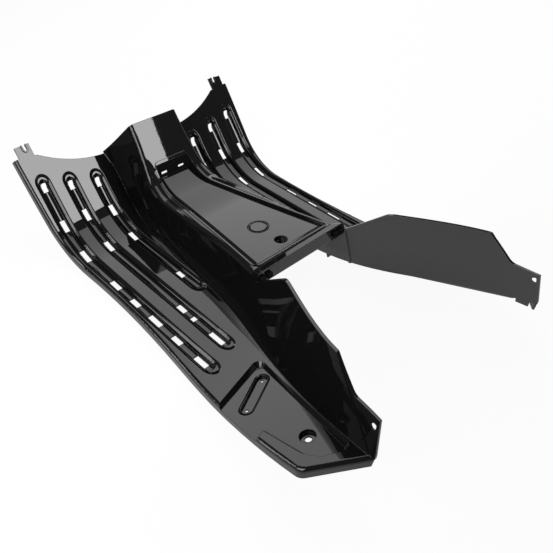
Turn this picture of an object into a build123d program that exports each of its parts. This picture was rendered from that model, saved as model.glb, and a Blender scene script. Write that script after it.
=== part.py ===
from build123d import *
from math import asin, atan2, cos, degrees, radians, sin, sqrt, tan
import os

# One-piece moulded scooter floorboard with its battery cover, in millimetres.
# X runs across the vehicle, +Y points to the front wheel, +Z points up.
# The right half is modelled and mirrored; heights start at the lower edge of the outer flange.

# Moulding
wall = 2.5
outer_edge_radius = 5.0
far = 400.0
clear_above = 25.0

# Side profile of the foot board, measured on the centre plane
flange_depth = 15.0
front_bend_y = 181.0
front_bend_radius = 110.0
shield_angle = 54.5
shield_run = 160.0
shield_toe = 5.15
rear_bend_y = -63.0
rear_bend_radius = 500.0
rear_angle = 13.8
rear_run = 240.0

# Plan outline of the right half, from the front corner back to the rear corner
front_half_width = 213.0
front_straight_y = 300.0
waist_half_width = 205.0
waist_y = 140.0
middle_half_width = 214.0
middle_y = -90.0
rear_half_width = 230.0
rear_shoulder_y = -265.0
rear_corner_y = -330.0
rear_corner_radius = 14.0
tail_half_width = 168.0
tail_y = -378.0

# Front edge of the leg shield, as distances up the slope from the end of the bend
edge_at_tunnel = 61.0
edge_at_middle = 78.0
edge_middle_x = 135.0
edge_at_tab = 106.0
tab_inner_x = 180.0
tab_width = 25.0
tab_height = 17.0
tab_slot_inset = 9.0
tab_shoulder = 4.0
tunnel_clear_x = 60.0
tab_slot_width = 5.0
tab_slot_depth = 10.0
tab_rim = 2.5
tab_rim_height = 1.5

# Ribs under the foot board
rib_y = (145.0, 81.0, 28.0, -21.0, -66.0)
rib_thickness = 1.5
rib_depth = 12.0

# Drainage grooves: lane position, rear end and distance of the front end up the slope
groove_half = 6.0
groove_depth = 7.0
groove_lip_radius = 4.5
groove_lanes = {
    "outer": (188.5, -123.0, 57.0),
    "middle": (146.0, -103.0, 43.5),
    "inner": (101.0, 19.0, 30.0),
}
window_width = 8.5
# Windows of each groove as (distance along the groove from its front end, length)
groove_windows = {
    "outer": ((3.5, 20.0), (73.0, 20.0), (131.5, 26.0), (218.5, 26.0), (272.5, 22.0),
              (324.0, 29.0), (376.0, 21.0), (430.0, 26.0)),
    "middle": ((3.5, 20.0), (59.0, 20.0), (123.0, 24.0), (320.0, 20.0), (349.0, 10.0),
               (401.5, 30.0)),
    "inner": ((4.5, 20.0), (58.0, 20.0), (115.5, 22.0), (246.5, 18.0)),
}

# Tunnel roof in side view
hump_top_y = 243.9
hump_top_z = 173.9
roof_knee_y = 181.3
roof_knee_z = 75.9
roof_knee_radius = 60.0
roof_rear_knee_y = -88.0
roof_rear_knee_z = 95.0
roof_rear_knee_radius = 14.0
roof_end_y = -106.0
roof_end_z = 104.0
roof_shoulder_radius = 9.0
rear_lip_depth = 20.0
clip_slot_x = (66.0, 78.0)
clip_slot_width = 9.0
clip_slot_height = 8.0
clip_slot_drop = 12.0

# Flanks of the tunnel and the wings: (y, half width at the floor, draft, top height)
flank_stations = (
    (330.0, 67.5, 7.6, 215.0),
    (290.0, 66.6, 7.6, 200.0),
    (250.0, 65.8, 8.5, 185.0),
    (210.0, 70.8, 11.5, 150.0),
    (165.0, 76.0, 15.0, 115.0),
    (100.0, 82.9, 16.5, 98.0),
    (10.0, 90.3, 17.5, 102.0),
    (-80.0, 103.0, 17.0, 125.0),
    (-160.0, 124.5, 14.0, 165.0),
    (-240.0, 146.5, 8.5, 175.0),
    (-320.0, 162.6, 6.0, 175.0),
    (-390.0, 172.0, 6.0, 175.0),
)
flank_below = 45.0
flank_reach = 5.0

# Rear wings in side view
wing_foot_z = 90.0
wing_front_y = -172.0
wing_front_z = 145.0
wing_rear_y = -299.0
wing_rear_z = 157.0
wing_slant_y = -333.0
wing_slant_z = 123.0
wing_end_y = -371.0
wing_end_z = 122.0
wing_tail_y = -378.0
wing_tail_z = 76.0
wing_front_radius = 25.0
wing_rear_radius = 4.0
wing_slant_radius = 14.0
wing_rim_width = 4.5
wing_rim_height = 4.0
wing_fold_foot = (-374.0, 66.0)
wing_fold_sink = 1.0
wing_hole_at = (-366.0, 110.0)
wing_hole = 8.0
wing_hole_flat = 1.5
wing_tongue_y = (-367.0, -350.0)
wing_tongue_z = 58.0

# Battery cover and its seat in the tunnel roof
cover_front_y = 199.0
cover_front_z = 89.0
cover_bend_y = 172.0
cover_bend_radius = 80.0
cover_rear_y = -80.0
cover_front_half = 29.0
cover_middle_half = 43.2
cover_middle_y = 80.0
cover_rear_half = 66.0
cover_corner_radius = 4.0
cover_gap = 4.0
cover_sink = 2.0
cover_thickness = 2.5
cover_seat_clearance = 0.3
seat_width = 6.0
bead_width = 3.0
bead_height = 1.2
ring_y = -12.0
ring_diameter = 33.0
ring_width = 1.6
ring_depth = 0.8
finger_cup_y = -61.0
finger_cup = 20.0
finger_cup_depth = 9.0
latch_window_x = 17.0
latch_window_width = 12.0
latch_window_height = 5.0

# Passenger foot platform
recess_depth = 6.0
recess_taper = 35.0
recess_front_outer = (240.0, -193.0)
recess_front_inner = (140.0, -166.0)
recess_rear_inner = (174.5, -346.0)
recess_rear_outer = (199.0, -331.0)
recess_side = (208.0, -314.0)
recess_mouth_inner = (213.0, -253.0)
recess_mouth_outer = (245.0, -262.0)
recess_corner_radius = 5.0
pocket_inner = (156.5, -190.0)
pocket_outer = (203.0, -213.5)
pocket_width = 15.0
pocket_depth = 3.5
pocket_hole = 4.0
bolt_at = (187.5, -298.5)
bolt_hole = 8.5
bolt_seat = 20.0
bolt_seat_depth = 5.0


def slope_point(distance, height):
    """Point of the centre plane on the leg shield, by distance up the slope and height off it."""
    a = radians(shield_angle)
    end_y = front_bend_y + front_bend_radius * sin(a)
    end_z = flange_depth + front_bend_radius * (1 - cos(a))
    return (end_y + distance * cos(a) - height * sin(a),
            end_z + distance * sin(a) + height * cos(a))


def rear_point(angle):
    """Point of the centre plane on the rear bend, by the angle turned from the flat floor."""
    return (rear_bend_y - rear_bend_radius * sin(angle),
            flange_depth + rear_bend_radius * (1 - cos(angle)))


def front_bend_point(angle):
    """Point of the centre plane on the front bend, by the angle turned from the flat floor."""
    return (front_bend_y + front_bend_radius * sin(angle),
            flange_depth + front_bend_radius * (1 - cos(angle)))


def floor_height(y):
    """Height of the foot board's top face on the centre plane."""
    a = radians(shield_angle)
    b = radians(rear_angle)
    if y < rear_point(b)[0]:
        return rear_point(b)[1] + (rear_point(b)[0] - y) * tan(b)
    if y < rear_bend_y:
        return rear_point(asin((rear_bend_y - y) / rear_bend_radius))[1]
    if y < front_bend_y:
        return flange_depth
    if y < front_bend_point(a)[0]:
        return front_bend_point(asin((y - front_bend_y) / front_bend_radius))[1]
    return front_bend_point(a)[1] + (y - front_bend_point(a)[0]) * tan(a)


def floor_line(rear_turn, rear_length, front_length):
    """Top line of the foot board in side view, from the rear to the front."""
    a = radians(shield_angle)
    flat_rear = (rear_bend_y, flange_depth)
    flat_front = (front_bend_y, flange_depth)
    line = [
        Line(flat_rear, flat_front),
        ThreePointArc(flat_front, front_bend_point(a / 2), slope_point(0, 0)),
        Line(slope_point(0, 0), slope_point(front_length, 0)),
    ]
    if rear_turn > 0:
        line.insert(0, ThreePointArc(rear_point(rear_turn), rear_point(rear_turn / 2), flat_rear))
    if rear_length > 0:
        start = rear_point(rear_turn)
        end = (start[0] - rear_length * cos(rear_turn), start[1] + rear_length * sin(rear_turn))
        line.insert(0, Line(end, start))
    return line


def closed_below(edges, first, last):
    """Region under a line that runs from the rear to the front in side view."""
    front_y = last[0] + far
    rear_y = first[0] - far
    return make_face(edges + [
        Polyline(last, (front_y, last[1]), (front_y, -far), (rear_y, -far), (rear_y, first[1]), first)
    ])


def across(region):
    """Side-view region drawn straight across the right half."""
    return extrude(Plane.YZ * region, amount=far)


def across_toed(region):
    """Side-view region drawn across the right half and turned by the toe of the foot board."""
    return Rot(0, 0, -shield_toe) * extrude(Plane.YZ * region, amount=far, both=True)


def upright(region):
    """Plan region drawn through the full height."""
    return extrude(Pos(0, 0, -far / 2) * region, amount=1.5 * far)


def lowered(region, depth):
    """Side-view region with its top line moved inwards by a depth."""
    return region if depth == 0 else offset(region, amount=-depth)


# Side-view regions under the foot board and under the tunnel roof
rear_turn = radians(rear_angle)
floor_edges = floor_line(rear_turn, rear_run, shield_run)
floor_first = floor_edges[0] @ 0
floor_region = closed_below(floor_edges, (floor_first.X, floor_first.Y), slope_point(shield_run, 0))

hump_ahead = 1.4
crest_behind = 2.0
roof_first = (roof_rear_knee_y + crest_behind * (roof_end_y - roof_rear_knee_y),
              roof_rear_knee_z + crest_behind * (roof_end_z - roof_rear_knee_z))
roof_last = (roof_knee_y + hump_ahead * (hump_top_y - roof_knee_y),
             roof_knee_z + hump_ahead * (hump_top_z - roof_knee_z))
roof_edges = FilletPolyline(roof_first, (roof_rear_knee_y, roof_rear_knee_z),
                            (roof_knee_y, roof_knee_z), roof_last,
                            radius=[roof_rear_knee_radius, roof_knee_radius]).edges()
roof_region = closed_below(list(roof_edges), roof_first, roof_last)

deck_rise = (roof_rear_knee_z - roof_knee_z) / (roof_rear_knee_y - roof_knee_y)
cover_bend = (cover_bend_y, roof_knee_z + deck_rise * (cover_bend_y - roof_knee_y) - cover_sink)
cover_first = (cover_bend[0] - far, cover_bend[1] - deck_rise * far)
cover_last = (2 * cover_front_y - cover_bend[0], 2 * cover_front_z - cover_bend[1])
cover_edges = FilletPolyline(cover_first, cover_bend, cover_last, radius=cover_bend_radius).edges()
cover_region = closed_below(list(cover_edges), cover_first, cover_last)


def under_floor(depth):
    """Right half of the space below the foot board's top face, lowered by a depth."""
    return across_toed(lowered(floor_region, depth))


def under_roof(depth):
    """Right half of the space below the tunnel roof's top face, lowered by a depth."""
    return across(lowered(roof_region, depth))


def under_cover(depth):
    """Right half of the space below the battery cover's top face, lowered by a depth."""
    return across(lowered(cover_region, depth))


def over_cover(depth):
    """Right half of the space above the battery cover's top face lowered by a depth."""
    return across(Rectangle(4 * far, far)) - under_cover(depth)


def plan_outline(inset):
    """Plan outline of the right half, closed on the centre plane and moved in by an inset."""
    tail_rise = (rear_corner_y - tail_y) / (rear_half_width - tail_half_width)
    lift = inset * sqrt(1 + tail_rise ** 2)
    front = (front_half_width - inset, far)
    corner = (rear_half_width - inset, rear_corner_y - inset * tail_rise + lift)
    tail = (tail_half_width, tail_y + lift)
    side = Spline(front, (front_half_width - inset, front_straight_y),
                  (waist_half_width - inset, waist_y), (middle_half_width - inset, middle_y),
                  (rear_half_width - inset, rear_shoulder_y), corner)
    face = make_face([side, Polyline(corner, tail, (0, tail[1]), (0, far), front)])
    rear_corner = face.vertices().sort_by_distance((*corner, 0))[0]
    return fillet(rear_corner, rear_corner_radius - inset)


def shield_plane():
    """Sketch plane on the leg shield: local X across, local Y up the slope."""
    a = radians(shield_angle)
    y, z = slope_point(0, 0)
    return Plane(origin=(0, y, z), x_dir=(1, 0, 0), z_dir=(0, -sin(a), cos(a)))


def on_shield(x, distance):
    """Sketch point on the toed leg shield, by distance up its slope."""
    return (x, distance - toe_slope * x * cos(radians(shield_angle)))


def through_shield(region):
    """Shield-plane region drawn through the leg shield."""
    return extrude(shield_plane() * region, amount=shield_run / 2, both=True)


def front_waste():
    """What the front edge of the leg shield leaves off, around the tab."""
    edge = edge_at_tab
    tab_outer_x = tab_inner_x + tab_width
    top = edge + tab_height
    curve = ThreePointArc(on_shield(tunnel_clear_x, edge_at_tunnel),
                          on_shield(edge_middle_x, edge_at_middle),
                          on_shield(tab_inner_x - tab_shoulder, edge - tab_shoulder))
    tab = Polyline(on_shield(tab_inner_x - tab_shoulder, edge - tab_shoulder),
                   on_shield(tab_inner_x, edge - tab_shoulder), on_shield(tab_inner_x, top),
                   on_shield(tab_outer_x, top), on_shield(tab_outer_x, edge),
                   on_shield(far, edge), on_shield(far, far), on_shield(0, far),
                   on_shield(0, edge_at_tunnel), on_shield(tunnel_clear_x, edge_at_tunnel))
    return make_face([curve, tab])


def add_tab_slot(body):
    """Open slot of the tab with its raised rim."""
    a = radians(shield_angle)
    toe = radians(shield_toe)
    x = tab_inner_x + tab_slot_inset
    straight = tab_slot_depth - tab_slot_width / 2
    y, z = slope_point(edge_at_tab + tab_height - straight, 0)
    plane = Plane(origin=(x, y + lane_shift(x), z), x_dir=(cos(toe), -sin(toe), 0),
                  z_dir=(-sin(a) * sin(toe), -sin(a) * cos(toe), cos(a)))
    wide = tab_slot_width / 2 + tab_rim
    rim = Circle(wide) + Pos(0, straight / 2) * Rectangle(2 * wide, straight)
    slot = Circle(tab_slot_width / 2) + Pos(0, straight) * Rectangle(tab_slot_width, 2 * straight)
    body += extrude(plane.offset(-wall / 2) * rim, amount=wall / 2 + tab_rim_height)
    return body - extrude(plane * slot, amount=4 * wall, both=True)


def make_board():
    """Foot board with its leg shield, outer flange and platform skirt."""
    blank = (under_floor(0) - under_floor(flange_depth)) & upright(plan_outline(0))
    rim = [e for e in blank.edges() if is_floor_edge(e) and (e @ 0.5).X > tail_half_width]
    blank = fillet(rim, outer_edge_radius)
    return blank - (under_floor(wall) & upright(plan_outline(wall)))


def is_floor_edge(edge):
    """True for an edge that lies on the foot board's top face."""
    toe = radians(shield_toe)
    points = [edge @ part for part in (0.25, 0.5, 0.75)]
    return all(abs(p.Z - floor_height(p.Y * cos(toe) + p.X * sin(toe))) < 0.01 for p in points)


def lane_shift(lane_x):
    """How far the toe moves the front bend along a lane."""
    return front_bend_y * (1 / cos(radians(shield_toe)) - 1) - toe_slope * lane_x


def groove_plan(lane_x, rear_y, front_distance, half):
    """Plan of a groove whose ends are round on the foot board and on the leg shield."""
    front_y = slope_point(front_distance, 0)[0] + lane_shift(lane_x)
    length = front_y - rear_y
    run = Pos(lane_x, (front_y + rear_y) / 2) * Rectangle(2 * half, length)
    front_end = Pos(lane_x, front_y) * Ellipse(half, half * cos(radians(shield_angle)))
    return run + front_end + Pos(lane_x, rear_y) * Circle(half)


def add_ribs(body):
    """Cross ribs under the foot board, inside the outer flange."""
    plan = Sketch() + [Pos(far / 2, y) * Rectangle(far, rib_thickness) for y in rib_y]
    return body + ((under_floor(wall / 2) - under_floor(rib_depth))
                   & upright(plan) & upright(plan_outline(wall / 2)))


def add_groove(body, lane):
    """Sunk groove with its round lip and its skin under the foot board."""
    skin = under_floor(wall / 2) - under_floor(groove_depth + wall)
    body += skin & upright(groove_plan(*lane, groove_half + wall))
    sunk = under_floor(-clear_above) - under_floor(groove_depth)
    body -= sunk & upright(groove_plan(*lane, groove_half))
    reach = groove_half + 0.01
    lip = [e for e in body.edges() if is_floor_edge(e)
           and max(abs((e @ 0).X - lane[0]), abs((e @ 1).X - lane[0])) < reach]
    return fillet(lip, groove_lip_radius)


def groove_window(lane_x, front_distance, distance, length):
    """Through cut in a groove floor, centred at a distance behind the groove's front end."""
    a = radians(shield_angle)
    bend_length = front_bend_radius * a
    past_slope = distance - front_distance
    if past_slope < 0:
        plane = section_plane(slope_point(-past_slope, 0), a)
    elif past_slope < bend_length:
        left = a - past_slope / front_bend_radius
        plane = section_plane(front_bend_point(left), left)
    else:
        past_bend = past_slope - bend_length
        past_flat = past_bend - (front_bend_y - rear_bend_y)
        turn = max(past_flat, 0) / rear_bend_radius
        y, z = rear_point(turn)
        plane = section_plane((y + max(-past_flat, 0), z), -turn)
    top = Plane(origin=plane.origin, x_dir=(1, 0, 0), z_dir=plane.y_dir)
    cut = extrude(Rectangle(window_width, length), amount=-groove_depth - 2 * wall)
    return Pos(lane_x, lane_shift(lane_x), 0) * (top * (Pos(0, 0, -groove_depth / 2) * cut))


def section_plane(point, turn):
    """Plane across the tunnel at a point of the centre plane, tilted by an angle."""
    return Plane(origin=(0, *point), x_dir=(1, 0, 0), z_dir=(0, -cos(turn), -sin(turn)))


def flank_section(y, half_width, draft, top, inset):
    """Half section of the tunnel between the centre plane and a flank."""
    lean = tan(radians(draft))
    skin = inset / cos(radians(draft))
    reach = flank_reach if inset else 0
    floor = floor_height(y)
    bottom = floor - flank_below - reach
    top += reach
    low = half_width + (floor - bottom) * lean - skin
    high = half_width - (top - floor) * lean - skin
    outline = Polyline((-reach, bottom), (low, bottom), (high, top), (-reach, top), close=True)
    return section_plane((y, 0), 0) * make_face(outline)


def flank_body(inset):
    """Half of the space between the flanks; an inset one reaches out past the ends."""
    reach = flank_reach if inset else 0
    sections = [flank_section(*station, inset) for station in flank_stations]
    first = Pos(0, reach, 0) * sections[0]
    last = Pos(0, -reach, 0) * sections[-1]
    return loft([first, *sections[1:-1], last])


def make_tunnel():
    """Tunnel shell with its round shoulders and rear lip."""
    front = slope_point(edge_at_tunnel, 0)
    lean = (front[0] - hump_top_y, front[1] - hump_top_z)
    ends = make_face(Polyline((hump_top_y - lean[0], hump_top_z - lean[1]),
                              (front[0] + lean[0], front[1] + lean[1]), (front[0], -far),
                              (roof_end_y, -far), (roof_end_y, far),
                              (hump_top_y - lean[0], far), close=True))
    outside = flank_outside & under_roof(0) & across(ends)
    inside = flank_inside & under_roof(wall)
    outside = fillet(shoulder_edges(outside), roof_shoulder_radius)
    lip = outside & across(Pos(roof_end_y + wall / 2, 0) * Rectangle(wall, far))
    lip -= under_roof(rear_lip_depth)
    shell = (outside - inside) + lip
    for x in clip_slot_x:
        shell -= Pos(x, roof_end_y, roof_end_z - clip_slot_drop) * Box(
            clip_slot_width, 4 * wall, clip_slot_height)
    return shell


def shoulder_edges(body):
    """Edges between the tunnel roof and its flank."""
    flank = body.faces().filter_by(GeomType.BSPLINE).sort_by(Axis.X)[-1]
    edges = []
    for edge in flank.edges():
        runs_along = abs((edge @ 0).Y - (edge @ 1).Y) > wall
        if runs_along and (edge @ 0.5).Y < hump_top_y and (edge @ 0.5).Z > wing_foot_z / 2:
            edges.append(edge)
    return edges


def make_wing():
    """Rear wing with its thickened rim."""
    face = make_face(Polyline((roof_end_y, -far), (roof_end_y, wing_foot_z),
                              (wing_front_y, wing_front_z), (wing_rear_y, wing_rear_z),
                              (wing_slant_y, wing_slant_z), (wing_end_y, wing_end_z),
                              (wing_tail_y, wing_tail_z), (wing_tail_y, -far), close=True))
    rounded = ((wing_front_y, wing_front_z, wing_front_radius),
               (wing_rear_y, wing_rear_z, wing_rear_radius),
               (wing_slant_y, wing_slant_z, wing_slant_radius))
    for y, z, radius in rounded:
        face = fillet(face.vertices().sort_by_distance((y, z, 0))[0], radius)
    plate = (flank_outside - flank_inside) & across(face)
    rim = flank_outside - flank_body(wing_rim_width)
    wing = plate + (rim & across(face - offset(face, amount=-wing_rim_height)))
    tail = make_face(Polyline((wing_rear_y, wing_rear_z), wing_fold_foot, (-far, wing_fold_foot[1]),
                              (-far, wing_rear_z), close=True))
    wing -= (flank_outside - flank_body(wing_fold_sink)) & across(tail)
    hole = Circle(wing_hole / 2) & Pos(wing_hole_flat, 0) * Rectangle(wing_hole, wing_hole)
    return wing - across(Pos(*wing_hole_at) * hole)


def make_tongue():
    """Tongue that hangs from the foot of the wing."""
    rear, front = wing_tongue_y
    top = floor_height(front) + wall
    face = Rectangle(front - rear, top - wing_tongue_z, align=Align.MIN)
    return (flank_outside - flank_inside) & across(Pos(rear, wing_tongue_z) * face)


def cover_plan(margin):
    """Right half of the battery cover in plan, grown by a margin."""
    front = (cover_front_half, cover_front_y)
    rear = (cover_rear_half, cover_rear_y)
    side = ThreePointArc(front, (cover_middle_half, cover_middle_y), rear)
    face = make_face([side, Polyline(rear, (-far, cover_rear_y), (-far, cover_front_y), front)])
    corners = face.vertices().sort_by(Axis.X)[-2:]
    face = fillet(corners, cover_corner_radius)
    return face if margin == 0 else offset(face, amount=margin)


def right_half(body):
    """Part of a body on the right of the centre plane."""
    return body & Pos(far, 0, 0) * Box(2 * far, 4 * far, 4 * far)


def add_cover_seat(body):
    """Sunk seat of the battery cover with its bead, latch windows and access opening."""
    seat = cover_thickness + cover_seat_clearance
    column = under_roof(wall / 2) - under_cover(seat + wall)
    bead = under_roof(-bead_height) - under_roof(wall / 2)
    body += column & right_half(upright(cover_plan(cover_gap + wall)))
    body += bead & right_half(upright(cover_plan(cover_gap + bead_width)))
    body -= over_cover(seat) & upright(cover_plan(cover_gap))
    body -= Pos(latch_window_x, cover_front_y + cover_gap, cover_front_z + latch_window_height) * Box(
        latch_window_width, 4 * wall, latch_window_height)
    return body - (under_cover(0) & upright(cover_plan(-seat_width)))


def make_cover():
    """Battery cover with its ring mark and finger cup, lying in its seat."""
    half = (under_cover(0) - under_cover(cover_thickness)) & right_half(upright(cover_plan(0)))
    ring = Circle(ring_diameter / 2) - Circle(ring_diameter / 2 - ring_width)
    half -= (under_cover(0) - under_cover(ring_depth)) & upright(Pos(0, ring_y) * ring)
    cup = under_cover(cover_thickness / 2) - under_cover(finger_cup_depth + wall)
    half += cup & upright(Pos(0, finger_cup_y) * Circle(finger_cup / 2 + wall))
    half -= over_cover(finger_cup_depth) & upright(Pos(0, finger_cup_y) * Circle(finger_cup / 2))
    return half + mirror(half, about=Plane.YZ)


def recess_sketch(plane):
    """Floor of the sunk part of the passenger platform, open to the outer edge, on its plane."""
    rounded = [recess_front_inner, recess_rear_inner, recess_rear_outer, recess_side]
    plan = [recess_front_outer, *rounded, recess_mouth_inner, recess_mouth_outer]
    corners = {p: plane.to_local_coords(platform_plane(*p).origin) for p in plan}
    face = make_face(Polyline(*[(c.X, c.Y) for c in corners.values()], close=True))
    for p in rounded:
        face = fillet(face.vertices().sort_by_distance((corners[p].X, corners[p].Y, 0))[0],
                      recess_corner_radius)
    return face


def pocket_plan():
    """Plan of the oblong pocket in the platform."""
    (x0, y0), (x1, y1) = pocket_inner, pocket_outer
    spine = Line(pocket_inner, pocket_outer)
    return SlotCenterToCenter(spine.length, pocket_width).moved(
        Location(((x0 + x1) / 2, (y0 + y1) / 2, 0), (0, 0, degrees(atan2(y1 - y0, x1 - x0)))))


def platform_plane(x, y):
    """Plane on the sloping rear floor above a plan point, with Z off the surface."""
    toe = radians(shield_toe)
    slope = radians(rear_angle)
    start_y, start_z = rear_point(slope)
    height = start_z + (start_y - y * cos(toe) - x * sin(toe)) * tan(slope)
    normal = (sin(slope) * sin(toe), sin(slope) * cos(toe), cos(slope))
    return Plane(origin=(x, y, height), x_dir=(cos(toe), -sin(toe), 0), z_dir=normal)


def add_platform(body):
    """Sunk platform with sloping walls, its pocket and drain holes."""
    plane = platform_plane(*bolt_at)
    plan = recess_sketch(plane)
    pocket = pocket_plan()
    pocket_floor = recess_depth + pocket_depth
    tray = extrude(plane.offset(-recess_depth - wall) * offset(plan, amount=wall),
                   amount=recess_depth + wall / 2, taper=-recess_taper)
    sunk = extrude(plane.offset(-recess_depth) * plan, amount=clear_above, taper=-recess_taper)
    carrier = under_floor(recess_depth + wall / 2) - under_floor(pocket_floor + wall)
    body += tray & upright(plan_outline(wall / 2))
    body += carrier & upright(offset(pocket, amount=wall))
    body -= sunk
    body -= (under_floor(-clear_above) - under_floor(pocket_floor)) & upright(pocket)
    for x, y in (pocket_inner, pocket_outer):
        body -= upright(Pos(x, y) * Circle(pocket_hole / 2))
    return body


def add_bolt_seat(body):
    """Counterbored bolt seat square to the platform."""
    plane = platform_plane(*bolt_at)
    seat_floor = recess_depth + bolt_seat_depth
    boss_top = plane.offset(-recess_depth - wall / 2)
    seat = plane.offset(-seat_floor)
    body += extrude(boss_top * Circle(bolt_seat / 2 + wall), amount=-bolt_seat_depth - wall / 2)
    body -= extrude(seat * Circle(bolt_seat / 2), amount=seat_floor + clear_above)
    return body - extrude(seat * Circle(bolt_hole / 2), amount=2 * wall, both=True)


toe_slope = tan(radians(shield_toe))
flank_outside = flank_body(0)
flank_inside = flank_body(wall)

half = add_ribs(make_board())
for name, lane in groove_lanes.items():
    half = add_groove(half, lane)
    lane_x, rear_y, front_distance = lane
    for distance, length in groove_windows[name]:
        half -= groove_window(lane_x, front_distance, distance, length)
half = add_platform(half)
half = add_bolt_seat(half)
half -= through_shield(front_waste())
half = add_tab_slot(half)
half -= flank_inside
tunnel = make_tunnel()
wing = make_wing()
half += (tunnel + wing) - under_floor(wall)
half += make_tongue()
half = add_cover_seat(half)
floorboard = half + mirror(half, about=Plane.YZ)
cover = make_cover()

box = floorboard.bounding_box()
to_origin = Pos(0, -box.center().Y, -box.min.Z)
os.makedirs("parts", exist_ok=True)
for name, body in (("floorboard", floorboard), ("battery_cover", cover)):
    export_step(to_origin * body, "parts/" + name + ".step")
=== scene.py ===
import bpy
from collections import namedtuple
from math import pi, radians
from mathutils import Matrix, Vector


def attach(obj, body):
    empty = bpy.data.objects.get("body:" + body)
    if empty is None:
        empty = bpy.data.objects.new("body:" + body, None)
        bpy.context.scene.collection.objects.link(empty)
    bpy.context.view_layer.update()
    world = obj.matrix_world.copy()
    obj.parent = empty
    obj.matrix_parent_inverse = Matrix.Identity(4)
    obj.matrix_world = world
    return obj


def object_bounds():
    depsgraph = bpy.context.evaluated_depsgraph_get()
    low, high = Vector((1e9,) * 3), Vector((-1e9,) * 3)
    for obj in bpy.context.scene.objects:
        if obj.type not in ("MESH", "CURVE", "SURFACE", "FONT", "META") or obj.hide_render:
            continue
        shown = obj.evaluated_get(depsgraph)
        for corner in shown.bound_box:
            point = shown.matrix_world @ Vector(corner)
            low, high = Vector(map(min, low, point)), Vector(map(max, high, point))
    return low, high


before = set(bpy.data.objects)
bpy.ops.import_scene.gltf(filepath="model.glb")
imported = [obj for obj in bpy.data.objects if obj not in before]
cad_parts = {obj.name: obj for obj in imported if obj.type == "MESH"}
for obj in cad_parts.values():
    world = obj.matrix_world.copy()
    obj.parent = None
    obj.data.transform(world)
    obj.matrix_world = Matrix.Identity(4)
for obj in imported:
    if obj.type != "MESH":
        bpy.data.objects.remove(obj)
cad_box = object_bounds()

# Camera of the photograph, in metres and in the part's frame
IMAGE_SIZE = 553
FOCAL_PIXELS = 592.0
SENSOR_MM = 36.0
CAMERA_AT = Vector((-0.47349, -0.52684, 0.61670))
CAMERA_RIGHT = Vector((0.72595, -0.68776, 0.0))
CAMERA_UP = Vector((0.45326, 0.47843, 0.75211))

# White floor and dim surroundings
FLOOR_SIZE = 14.0
FLOOR_DROP = 0.0005
FLOOR_WHITE = 0.90
FLOOR_ROUGHNESS = 0.9
FLOOR_GLOW = 0.94
FLOOR_IN_GLOSS = 0.65
WORLD_LEVEL = 0.10

# Softboxes: places and sizes in metres, radiance with white at 1, roll in degrees
Softbox = namedtuple("Softbox", "centre target width height radiance roll")
SOFTBOXES = {
    "front": Softbox((0.189, -0.21, 0.569), (0.189, 0.0, 0.569), 0.247, 0.36, 9.0, -18.0),
    "overhead": Softbox((1.05, 0.705, 1.55), (1.05, 0.705, 0.0), 2.1, 1.91, 1.9, 0.0),
    "back": Softbox((1.05, 1.66, 1.05), (1.05, 0.0, 1.05), 2.1, 1.00, 1.9, 0.0),
    "left": Softbox((-1.25, 0.85, 0.56), (0.0, 0.0, 0.05), 0.40, 1.00, 4.0, 0.0),
    "left_strip": Softbox((-0.806, -0.144, 0.544), (-0.045, 0.26, 0.16), 0.70, 0.45, 5.0, 0.0),
}

# Plastic: colours, roughness and level of gloss
BLACK = (0.0055, 0.0055, 0.0060, 1.0)
BLACK_WORN = (0.0105, 0.0105, 0.0112, 1.0)
# Painted shade: a darker black for the upright walls
WALL_SHADE_BLACK = (0.0042, 0.0042, 0.0046, 1.0)
INNER_GREY = (0.046, 0.046, 0.047, 1.0)
GLOSS_ROUGHNESS = 0.025
WORN_ROUGHNESS = 0.075
INNER_ROUGHNESS = 0.45
# Painted shade: dull roughness in the cover's recess
RECESS_SHADE_ROUGHNESS = 0.70
GLOSS_LEVEL = 0.50
# Painted shade: weak reflection on the upright walls
WALL_SHADE_LEVEL = 0.04
# Painted shade: weak reflection in the cover's recess
RECESS_SHADE_LEVEL = 0.06
PLASTIC_IOR = 1.52

# Handling wear, ripple of the moulded surface and softened edges
WEAR_SCALE = 9.0
WEAR_DETAIL = 6.0
WEAR_RANGE = (0.50, 0.78)
SCUFF_SCALE = 140.0
SCUFF_DETAIL = 4.0
SCUFF_RANGE = (0.62, 0.80)
SCUFF_BASE = 0.25
BOARD_RIPPLE_SCALE = 170.0
COVER_RIPPLE_SCALE = 230.0
RIPPLE_DETAIL = 2.0
RIPPLE_STRENGTH = 0.05
RIPPLE_HEIGHT = 0.0002
EDGE_RADIUS = 0.0010
EDGE_SAMPLES = 6

# Faces told apart by where they look and lie, as spans from no share to full share
# Spans of the upright walls that get painted shade
SHADED_WALL_OUTWARD = (0.55, 0.80)
SHADED_WALL_ASIDE = (0.195, 0.185)
SHADED_WALL_HEIGHT = (0.028, 0.040)
WING_OUTWARD = (-0.25, -0.55)
WING_BEHIND = (-0.02, -0.05)
WING_HEIGHT = (0.026, 0.034)
UNDER_UPWARD = (-0.15, -0.40)

# Grooves as (lane, rear end, height of the front end), with hollow floors and soft lips
GROOVES = ((0.1885, -0.0984, 0.1075), (0.1460, -0.0784, 0.0965), (0.1010, 0.0436, 0.0855))
GROOVE_HALF = 0.0060
GROOVE_HOLLOW = 0.0014
GROOVE_RUN_OUT = 0.65
LIP_INNER = 0.0080
LIP_OUTER = 0.0132
LIP_DROP = 0.0017

# Oblong pocket of the platform, from the inner to the outer end of its centre line
POCKET_INNER = Vector((0.1565, -0.1654))
POCKET_OUTER = Vector((0.2030, -0.1889))
POCKET_HALF = 0.0075
POCKET_LIP = 0.0034
POCKET_DROP = 0.0014

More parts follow.
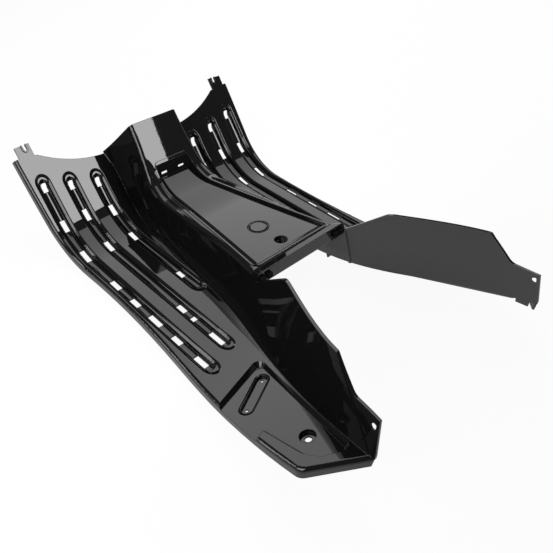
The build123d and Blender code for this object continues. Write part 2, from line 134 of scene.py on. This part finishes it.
# Battery cover: its plan, the gap round it, its round edge, its rise to the hump and its ring mark
COVER_REAR = -0.0554
COVER_FRONT = 0.2236
COVER_REAR_HALF = 0.0660
COVER_FRONT_HALF = 0.0290
COVER_BOW = 0.0016
# The gap sets how far the painted shade of the cover's recess reaches
COVER_GAP = 0.0042
COVER_GAP_EDGE = 0.0003
COVER_ROUND = 0.0044
COVER_ROUND_DROP = 0.0026
COVER_RISE = 0.0185
COVER_RISE_REAR = 0.09
COVER_RISE_FRONT = 0.21
RING_Y = 0.0126
RING_INNER = 0.0110
RING_OUTER = 0.0175
RING_HEIGHT = 0.0032

# Round shoulders of the tunnel, outwards from the cover's side, and where they run out
SHOULDER_INNER = 0.0065
SHOULDER_OUTER = 0.0185
SHOULDER_DROP = 0.0030
SHOULDER_TOP = 0.086
SHOULDER_FADE = 0.044
SHOULDER_REAR = -0.100
SHOULDER_RUN_OUT = 0.100
FLANK_INNER = 0.022
FLANK_OUTER = 0.050

# Retaining stubs in the rear lip
STUB_X = (0.066, 0.078)
STUB_Y = -0.0815
STUB_Z = 0.092
STUB_SIZE = (0.0091, 0.0090, 0.0081)
STUB_EDGE = 0.0010
STUB_EDGE_SEGMENTS = 3

# A place on the part: the point, its coordinates and its distance from the centre plane
Place = namedtuple("Place", "point x y z aside")

# Type of a mix node's sockets for each kind of mix
MIX_SOCKETS = {"RGBA": "RGBA", "FLOAT": "VALUE"}


class Graph:
    """Node tree of a new material."""

    def __init__(self, name):
        self.material = bpy.data.materials.new(name)
        self.material.use_nodes = True
        self.nodes = self.material.node_tree.nodes
        self.shader = self.nodes["Principled BSDF"]

    def feed(self, socket, value):
        """Links another node's output to a socket, or gives the socket a fixed value."""
        if isinstance(value, bpy.types.NodeSocket):
            self.material.node_tree.links.new(value, socket)
        else:
            socket.default_value = value

    def math(self, operation, first, *others):
        """Result of an operation on one value, or on several from left to right."""
        for other in others or (0.0,):
            node = self.nodes.new("ShaderNodeMath")
            node.operation = operation
            self.feed(node.inputs[0], first)
            self.feed(node.inputs[1], other)
            first = node.outputs["Value"]
        return first

    def diagonal(self, first, second):
        """Length of the diagonal of two sides."""
        squares = [self.math("MULTIPLY", side, side) for side in (first, second)]
        return self.math("SQRT", self.math("ADD", *squares))

    def ramp(self, value, span):
        """Value mapped smoothly from a span to 0..1, and clamped."""
        node = self.nodes.new("ShaderNodeMapRange")
        node.interpolation_type = "SMOOTHSTEP"
        self.feed(node.inputs["Value"], value)
        self.feed(node.inputs["From Min"], span[0])
        self.feed(node.inputs["From Max"], span[1])
        return node.outputs["Result"]

    def split(self, vector):
        """The three coordinates of a vector."""
        node = self.nodes.new("ShaderNodeSeparateXYZ")
        self.feed(node.inputs["Vector"], vector)
        return node.outputs["X"], node.outputs["Y"], node.outputs["Z"]

    def noise(self, point, scale, detail):
        """Noise of a stated scale and detail at a point."""
        node = self.nodes.new("ShaderNodeTexNoise")
        self.feed(node.inputs["Vector"], point)
        self.feed(node.inputs["Scale"], scale)
        self.feed(node.inputs["Detail"], detail)
        return node.outputs["Fac"]

    def mix(self, kind, share, first, second):
        """Mix of two colours or two numbers."""
        node = self.nodes.new("ShaderNodeMix")
        node.data_type = kind
        self.feed(node.inputs["Factor"], share)
        fitting = [socket for socket in node.inputs if socket.type == MIX_SOCKETS[kind]]
        for name, value in (("A", first), ("B", second)):
            self.feed(next(socket for socket in fitting if socket.name == name), value)
        return next(socket for socket in node.outputs if socket.type == MIX_SOCKETS[kind])

    def bump(self, normal, height, strength=1.0, scale=1.0):
        """Normal bent by a height, which is in metres unless it is scaled."""
        node = self.nodes.new("ShaderNodeBump")
        self.feed(node.inputs["Normal"], normal)
        self.feed(node.inputs["Height"], height)
        self.feed(node.inputs["Strength"], strength)
        self.feed(node.inputs["Distance"], scale)
        return node.outputs["Normal"]


def add_camera():
    """Camera at the photograph's viewpoint."""
    data = bpy.data.cameras.new("photo_camera")
    data.sensor_width = SENSOR_MM
    data.lens = SENSOR_MM * FOCAL_PIXELS / IMAGE_SIZE
    camera = bpy.data.objects.new("photo_camera", data)
    back = CAMERA_RIGHT.cross(CAMERA_UP)
    turn = Matrix((CAMERA_RIGHT, CAMERA_UP, back)).transposed().to_4x4()
    camera.matrix_world = Matrix.Translation(CAMERA_AT) @ turn
    bpy.context.scene.collection.objects.link(camera)
    bpy.context.scene.camera = camera


def add_softbox(name, box):
    """Rectangular lamp of a stated radiance, aimed at a point."""
    light = bpy.data.lights.new(name, "AREA")
    light.shape = "RECTANGLE"
    light.size = box.width
    light.size_y = box.height
    light.energy = box.radiance * box.width * box.height * pi
    lamp = bpy.data.objects.new(name, light)
    centre = Vector(box.centre)
    aim = Vector(box.target) - centre
    turn = aim.to_track_quat("-Z", "Y").to_matrix().to_4x4()
    roll = Matrix.Rotation(radians(box.roll), 4, "Z")
    lamp.matrix_world = Matrix.Translation(centre) @ turn @ roll
    lamp.visible_camera = False
    bpy.context.scene.collection.objects.link(lamp)


def white_paper():
    """Matt white that also glows where it is seen directly or in a gloss surface."""
    graph = Graph("floor_white")
    graph.feed(graph.shader.inputs["Base Color"], (FLOOR_WHITE, FLOOR_WHITE, FLOOR_WHITE, 1))
    graph.feed(graph.shader.inputs["Roughness"], FLOOR_ROUGHNESS)
    graph.feed(graph.shader.inputs["Specular IOR Level"], 0.0)
    path = graph.nodes.new("ShaderNodeLightPath").outputs
    direct = graph.math("ADD", path["Is Camera Ray"], path["Is Transmission Ray"])
    in_gloss = graph.math("MULTIPLY", path["Is Glossy Ray"], FLOOR_IN_GLOSS)
    glow = graph.nodes.new("ShaderNodeEmission")
    graph.feed(glow.inputs["Strength"], graph.math("MAXIMUM", direct, in_gloss))
    seen = graph.math("MAXIMUM", direct, path["Is Glossy Ray"])
    mix = graph.nodes.new("ShaderNodeMixShader")
    graph.feed(mix.inputs["Fac"], graph.math("MULTIPLY", seen, FLOOR_GLOW))
    graph.feed(mix.inputs[1], graph.shader.outputs["BSDF"])
    graph.feed(mix.inputs[2], glow.outputs["Emission"])
    graph.feed(graph.nodes["Material Output"].inputs["Surface"], mix.outputs["Shader"])
    return graph.material


def add_floor():
    """Floor that looks white and keeps the part's shadow."""
    height = cad_box[0][2] - FLOOR_DROP
    bpy.ops.mesh.primitive_plane_add(size=FLOOR_SIZE, location=(0, 0, height))
    floor = bpy.context.object
    floor.name = "floor"
    floor.data.materials.append(white_paper())


def set_world():
    """Even dim surroundings."""
    world = bpy.data.worlds.new("studio")
    world.use_nodes = True
    background = world.node_tree.nodes["Background"]
    background.inputs["Color"].default_value = (1, 1, 1, 1)
    background.inputs["Strength"].default_value = WORLD_LEVEL
    bpy.context.scene.world = world


def read_place(graph):
    """Place on the part, in the part's own frame."""
    point = graph.nodes.new("ShaderNodeTexCoord").outputs["Object"]
    x, y, z = graph.split(point)
    return Place(point, x, y, z, graph.math("ABSOLUTE", x))


def facing(graph, place):
    """How far a face looks outwards from the centre plane, and how far it looks up."""
    normal = graph.nodes.new("ShaderNodeNewGeometry").outputs["True Normal"]
    sideways, _, upward = graph.split(normal)
    return graph.math("MULTIPLY", sideways, graph.math("SIGN", place.x)), upward


def painted_wall_shade(graph, place):
    """Share of the upright walls of the tunnel and the wings, which get painted shade: a darker black and
    a weaker reflection than the treads.
    """
    outward, _ = facing(graph, place)
    upright = graph.ramp(outward, SHADED_WALL_OUTWARD)
    within = graph.ramp(place.aside, SHADED_WALL_ASIDE)
    raised = graph.ramp(place.z, SHADED_WALL_HEIGHT)
    return graph.math("MULTIPLY", upright, within, raised)


def hidden_side(graph, place):
    """Share of the dull side: faces that look down, or inwards on the rear wings."""
    outward, upward = facing(graph, place)
    inward = graph.ramp(outward, WING_OUTWARD)
    behind = graph.ramp(place.y, WING_BEHIND)
    raised = graph.ramp(place.z, WING_HEIGHT)
    wings = graph.math("MULTIPLY", inward, behind, raised)
    return graph.math("MAXIMUM", wings, graph.ramp(upward, UNDER_UPWARD))


def handling_wear(graph, place):
    """Share of faint wear: broad patches broken up by fine scuffs."""
    patches = graph.ramp(graph.noise(place.point, WEAR_SCALE, WEAR_DETAIL), WEAR_RANGE)
    scuffs = graph.ramp(graph.noise(place.point, SCUFF_SCALE, SCUFF_DETAIL), SCUFF_RANGE)
    return graph.math("MULTIPLY", patches, graph.math("ADD", scuffs, SCUFF_BASE))


def beside_cover(graph, place):
    """Distance from the centre plane, levelled so that the cover's sides stand at its rear half width."""
    forward = graph.math("SUBTRACT", place.y, COVER_REAR)
    forward = graph.math("DIVIDE", forward, COVER_FRONT - COVER_REAR)
    remaining = graph.math("SUBTRACT", 1.0, forward)
    bow = graph.math("MULTIPLY", forward, remaining, 4 * COVER_BOW)
    taper = graph.math("MULTIPLY", forward, COVER_REAR_HALF - COVER_FRONT_HALF)
    return graph.math("ADD", place.aside, bow, taper)


def cover_plan(graph, place, margin, edge):
    """Share of the battery cover's plan grown by a margin, with an edge of a stated half width."""
    half = COVER_REAR_HALF + margin
    rear = COVER_REAR - margin
    front = COVER_FRONT + margin
    inside = graph.ramp(beside_cover(graph, place), (half + edge, half - edge))
    behind = graph.ramp(place.y, (rear - edge, rear + edge))
    ahead = graph.ramp(place.y, (front + edge, front - edge))
    return graph.math("MULTIPLY", inside, behind, ahead)


def groove_relief(graph, place):
    """Height of the soft lips and hollow floors of the drainage grooves."""
    distances = []
    for lane, rear, front in GROOVES:
        across = graph.math("SUBTRACT", place.aside, lane)
        behind = graph.math("MAXIMUM", graph.math("SUBTRACT", rear, place.y), 0.0)
        beyond = graph.math("MAXIMUM", graph.math("SUBTRACT", place.z, front), 0.0)
        along = graph.math("ADD", graph.math("MULTIPLY", behind, GROOVE_RUN_OUT), beyond)
        distances.append(graph.diagonal(across, along))
    nearest = graph.math("MINIMUM", *distances)
    inside = graph.math("MINIMUM", nearest, GROOVE_HALF)
    hollow = graph.math("MULTIPLY", inside, inside, GROOVE_HOLLOW / GROOVE_HALF ** 2)
    lip = graph.math("MULTIPLY", graph.ramp(nearest, (LIP_INNER, LIP_OUTER)), LIP_DROP)
    return graph.math("ADD", hollow, lip)


def pocket_relief(graph, place):
    """Height of the soft lip round the oblong pocket of the platform."""
    spine = POCKET_OUTER - POCKET_INNER
    way = spine.normalized()
    out = graph.math("SUBTRACT", place.aside, POCKET_INNER.x)
    ahead = graph.math("SUBTRACT", place.y, POCKET_INNER.y)
    along_out = graph.math("MULTIPLY", out, way.x)
    along_ahead = graph.math("MULTIPLY", ahead, way.y)
    along = graph.math("ADD", along_out, along_ahead)
    along = graph.math("MINIMUM", graph.math("MAXIMUM", along, 0.0), spine.length)
    out = graph.math("SUBTRACT", out, graph.math("MULTIPLY", along, way.x))
    ahead = graph.math("SUBTRACT", ahead, graph.math("MULTIPLY", along, way.y))
    lip = graph.ramp(graph.diagonal(out, ahead), (POCKET_HALF, POCKET_HALF + POCKET_LIP))
    return graph.math("MULTIPLY", lip, POCKET_DROP)


def shoulder_fall(graph, place):
    """Fall of the tunnel's round shoulders, which runs out up the hump, rearwards and down the flanks."""
    outwards = graph.math("SUBTRACT", beside_cover(graph, place), COVER_REAR_HALF)
    fall = graph.ramp(outwards, (SHOULDER_INNER, SHOULDER_OUTER))
    near = graph.ramp(outwards, (FLANK_OUTER, FLANK_INNER))
    low = graph.ramp(place.z, (SHOULDER_TOP + SHOULDER_FADE, SHOULDER_TOP))
    ahead = graph.ramp(place.y, (SHOULDER_REAR, SHOULDER_REAR + SHOULDER_RUN_OUT))
    return graph.math("MULTIPLY", fall, near, low, ahead, SHOULDER_DROP)


def board_relief(graph, place):
    """Height of the board's soft forms: grooves, pockets and shoulders."""
    lips = graph.math("ADD", groove_relief(graph, place), pocket_relief(graph, place))
    return graph.math("SUBTRACT", lips, shoulder_fall(graph, place))


def cover_relief(graph, place):
    """Height of the cover's slow rise towards the hump, of its ring mark and of its round edge."""
    rise = graph.ramp(place.y, (COVER_RISE_REAR, COVER_RISE_FRONT))
    rise = graph.math("MULTIPLY", rise, COVER_RISE)
    away = graph.diagonal(place.x, graph.math("SUBTRACT", place.y, RING_Y))
    ring = graph.math("MULTIPLY", graph.ramp(away, (RING_INNER, RING_OUTER)), RING_HEIGHT)
    edge = cover_plan(graph, place, -COVER_ROUND / 2, COVER_ROUND / 2)
    edge = graph.math("MULTIPLY", edge, COVER_ROUND_DROP)
    return graph.math("ADD", rise, ring, edge)


def soft_normal(graph, place, relief, ripple_scale):
    """Normal with softened edges, the moulded relief and a faint ripple."""
    edge = graph.nodes.new("ShaderNodeBevel")
    edge.samples = EDGE_SAMPLES
    graph.feed(edge.inputs["Radius"], EDGE_RADIUS)
    form = graph.bump(edge.outputs["Normal"], relief(graph, place))
    ripple = graph.noise(place.point, ripple_scale, RIPPLE_DETAIL)
    return graph.bump(form, ripple, RIPPLE_STRENGTH, RIPPLE_HEIGHT)


def black_plastic(name, relief, ripple_scale, with_painted_shade=False):
    """Gloss black plastic with faint wear, duller on hidden faces; painted shade darkens the upright
    walls and the cover's recess.
    """
    graph = Graph(name)
    place = read_place(graph)
    hidden = hidden_side(graph, place)
    worn = handling_wear(graph, place)
    colour = graph.mix("RGBA", worn, BLACK, BLACK_WORN)
    colour = graph.mix("RGBA", hidden, colour, INNER_GREY)
    roughness = graph.mix("FLOAT", worn, GLOSS_ROUGHNESS, WORN_ROUGHNESS)
    roughness = graph.mix("FLOAT", hidden, roughness, INNER_ROUGHNESS)
    sockets = graph.shader.inputs
    if with_painted_shade:
        # Painted shade on the upright walls and in the cover's recess
        shaded_walls = painted_wall_shade(graph, place)
        recess_shade = cover_plan(graph, place, COVER_GAP, COVER_GAP_EDGE)
        colour = graph.mix("RGBA", shaded_walls, colour, WALL_SHADE_BLACK)
        # Painted shade dulls the cover's recess and the gap round it
        roughness = graph.mix("FLOAT", recess_shade, roughness, RECESS_SHADE_ROUGHNESS)
        level = graph.mix("FLOAT", shaded_walls, GLOSS_LEVEL, WALL_SHADE_LEVEL)
        graph.feed(sockets["Specular IOR Level"], graph.mix("FLOAT", recess_shade, level, RECESS_SHADE_LEVEL))
    graph.feed(sockets["Base Color"], colour)
    graph.feed(sockets["Roughness"], roughness)
    graph.feed(sockets["IOR"], PLASTIC_IOR)
    graph.feed(sockets["Normal"], soft_normal(graph, place, relief, ripple_scale))
    return graph.material


def add_stubs(material):
    """Retaining stubs that fill the slots of the rear lip."""
    for side, side_name in ((-1, "left"), (1, "right")):
        for number, x in enumerate(STUB_X, 1):
            bpy.ops.mesh.primitive_cube_add(size=1.0, location=(side * x, STUB_Y, STUB_Z))
            stub = bpy.context.object
            stub.name = f"lip_stub_{side_name}_{number}"
            stub.scale = STUB_SIZE
            bpy.ops.object.transform_apply(location=False, rotation=False, scale=True)
            edge = stub.modifiers.new("edge", "BEVEL")
            edge.width = STUB_EDGE
            edge.segments = STUB_EDGE_SEGMENTS
            stub.data.materials.append(material)
            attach(stub, "root")


def dress(node, material):
    """Gives a CAD node its finish."""
    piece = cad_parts[node]
    piece.data.materials.clear()
    piece.data.materials.append(material)


bpy.context.scene.view_settings.view_transform = "Standard"
add_camera()
set_world()
add_floor()
for softbox_name, softbox in SOFTBOXES.items():
    add_softbox(softbox_name, softbox)
board_black = black_plastic("floorboard_black", board_relief, BOARD_RIPPLE_SCALE, with_painted_shade=True)
dress("floorboard", board_black)
dress("battery_cover", black_plastic("cover_black", cover_relief, COVER_RIPPLE_SCALE))
add_stubs(board_black)
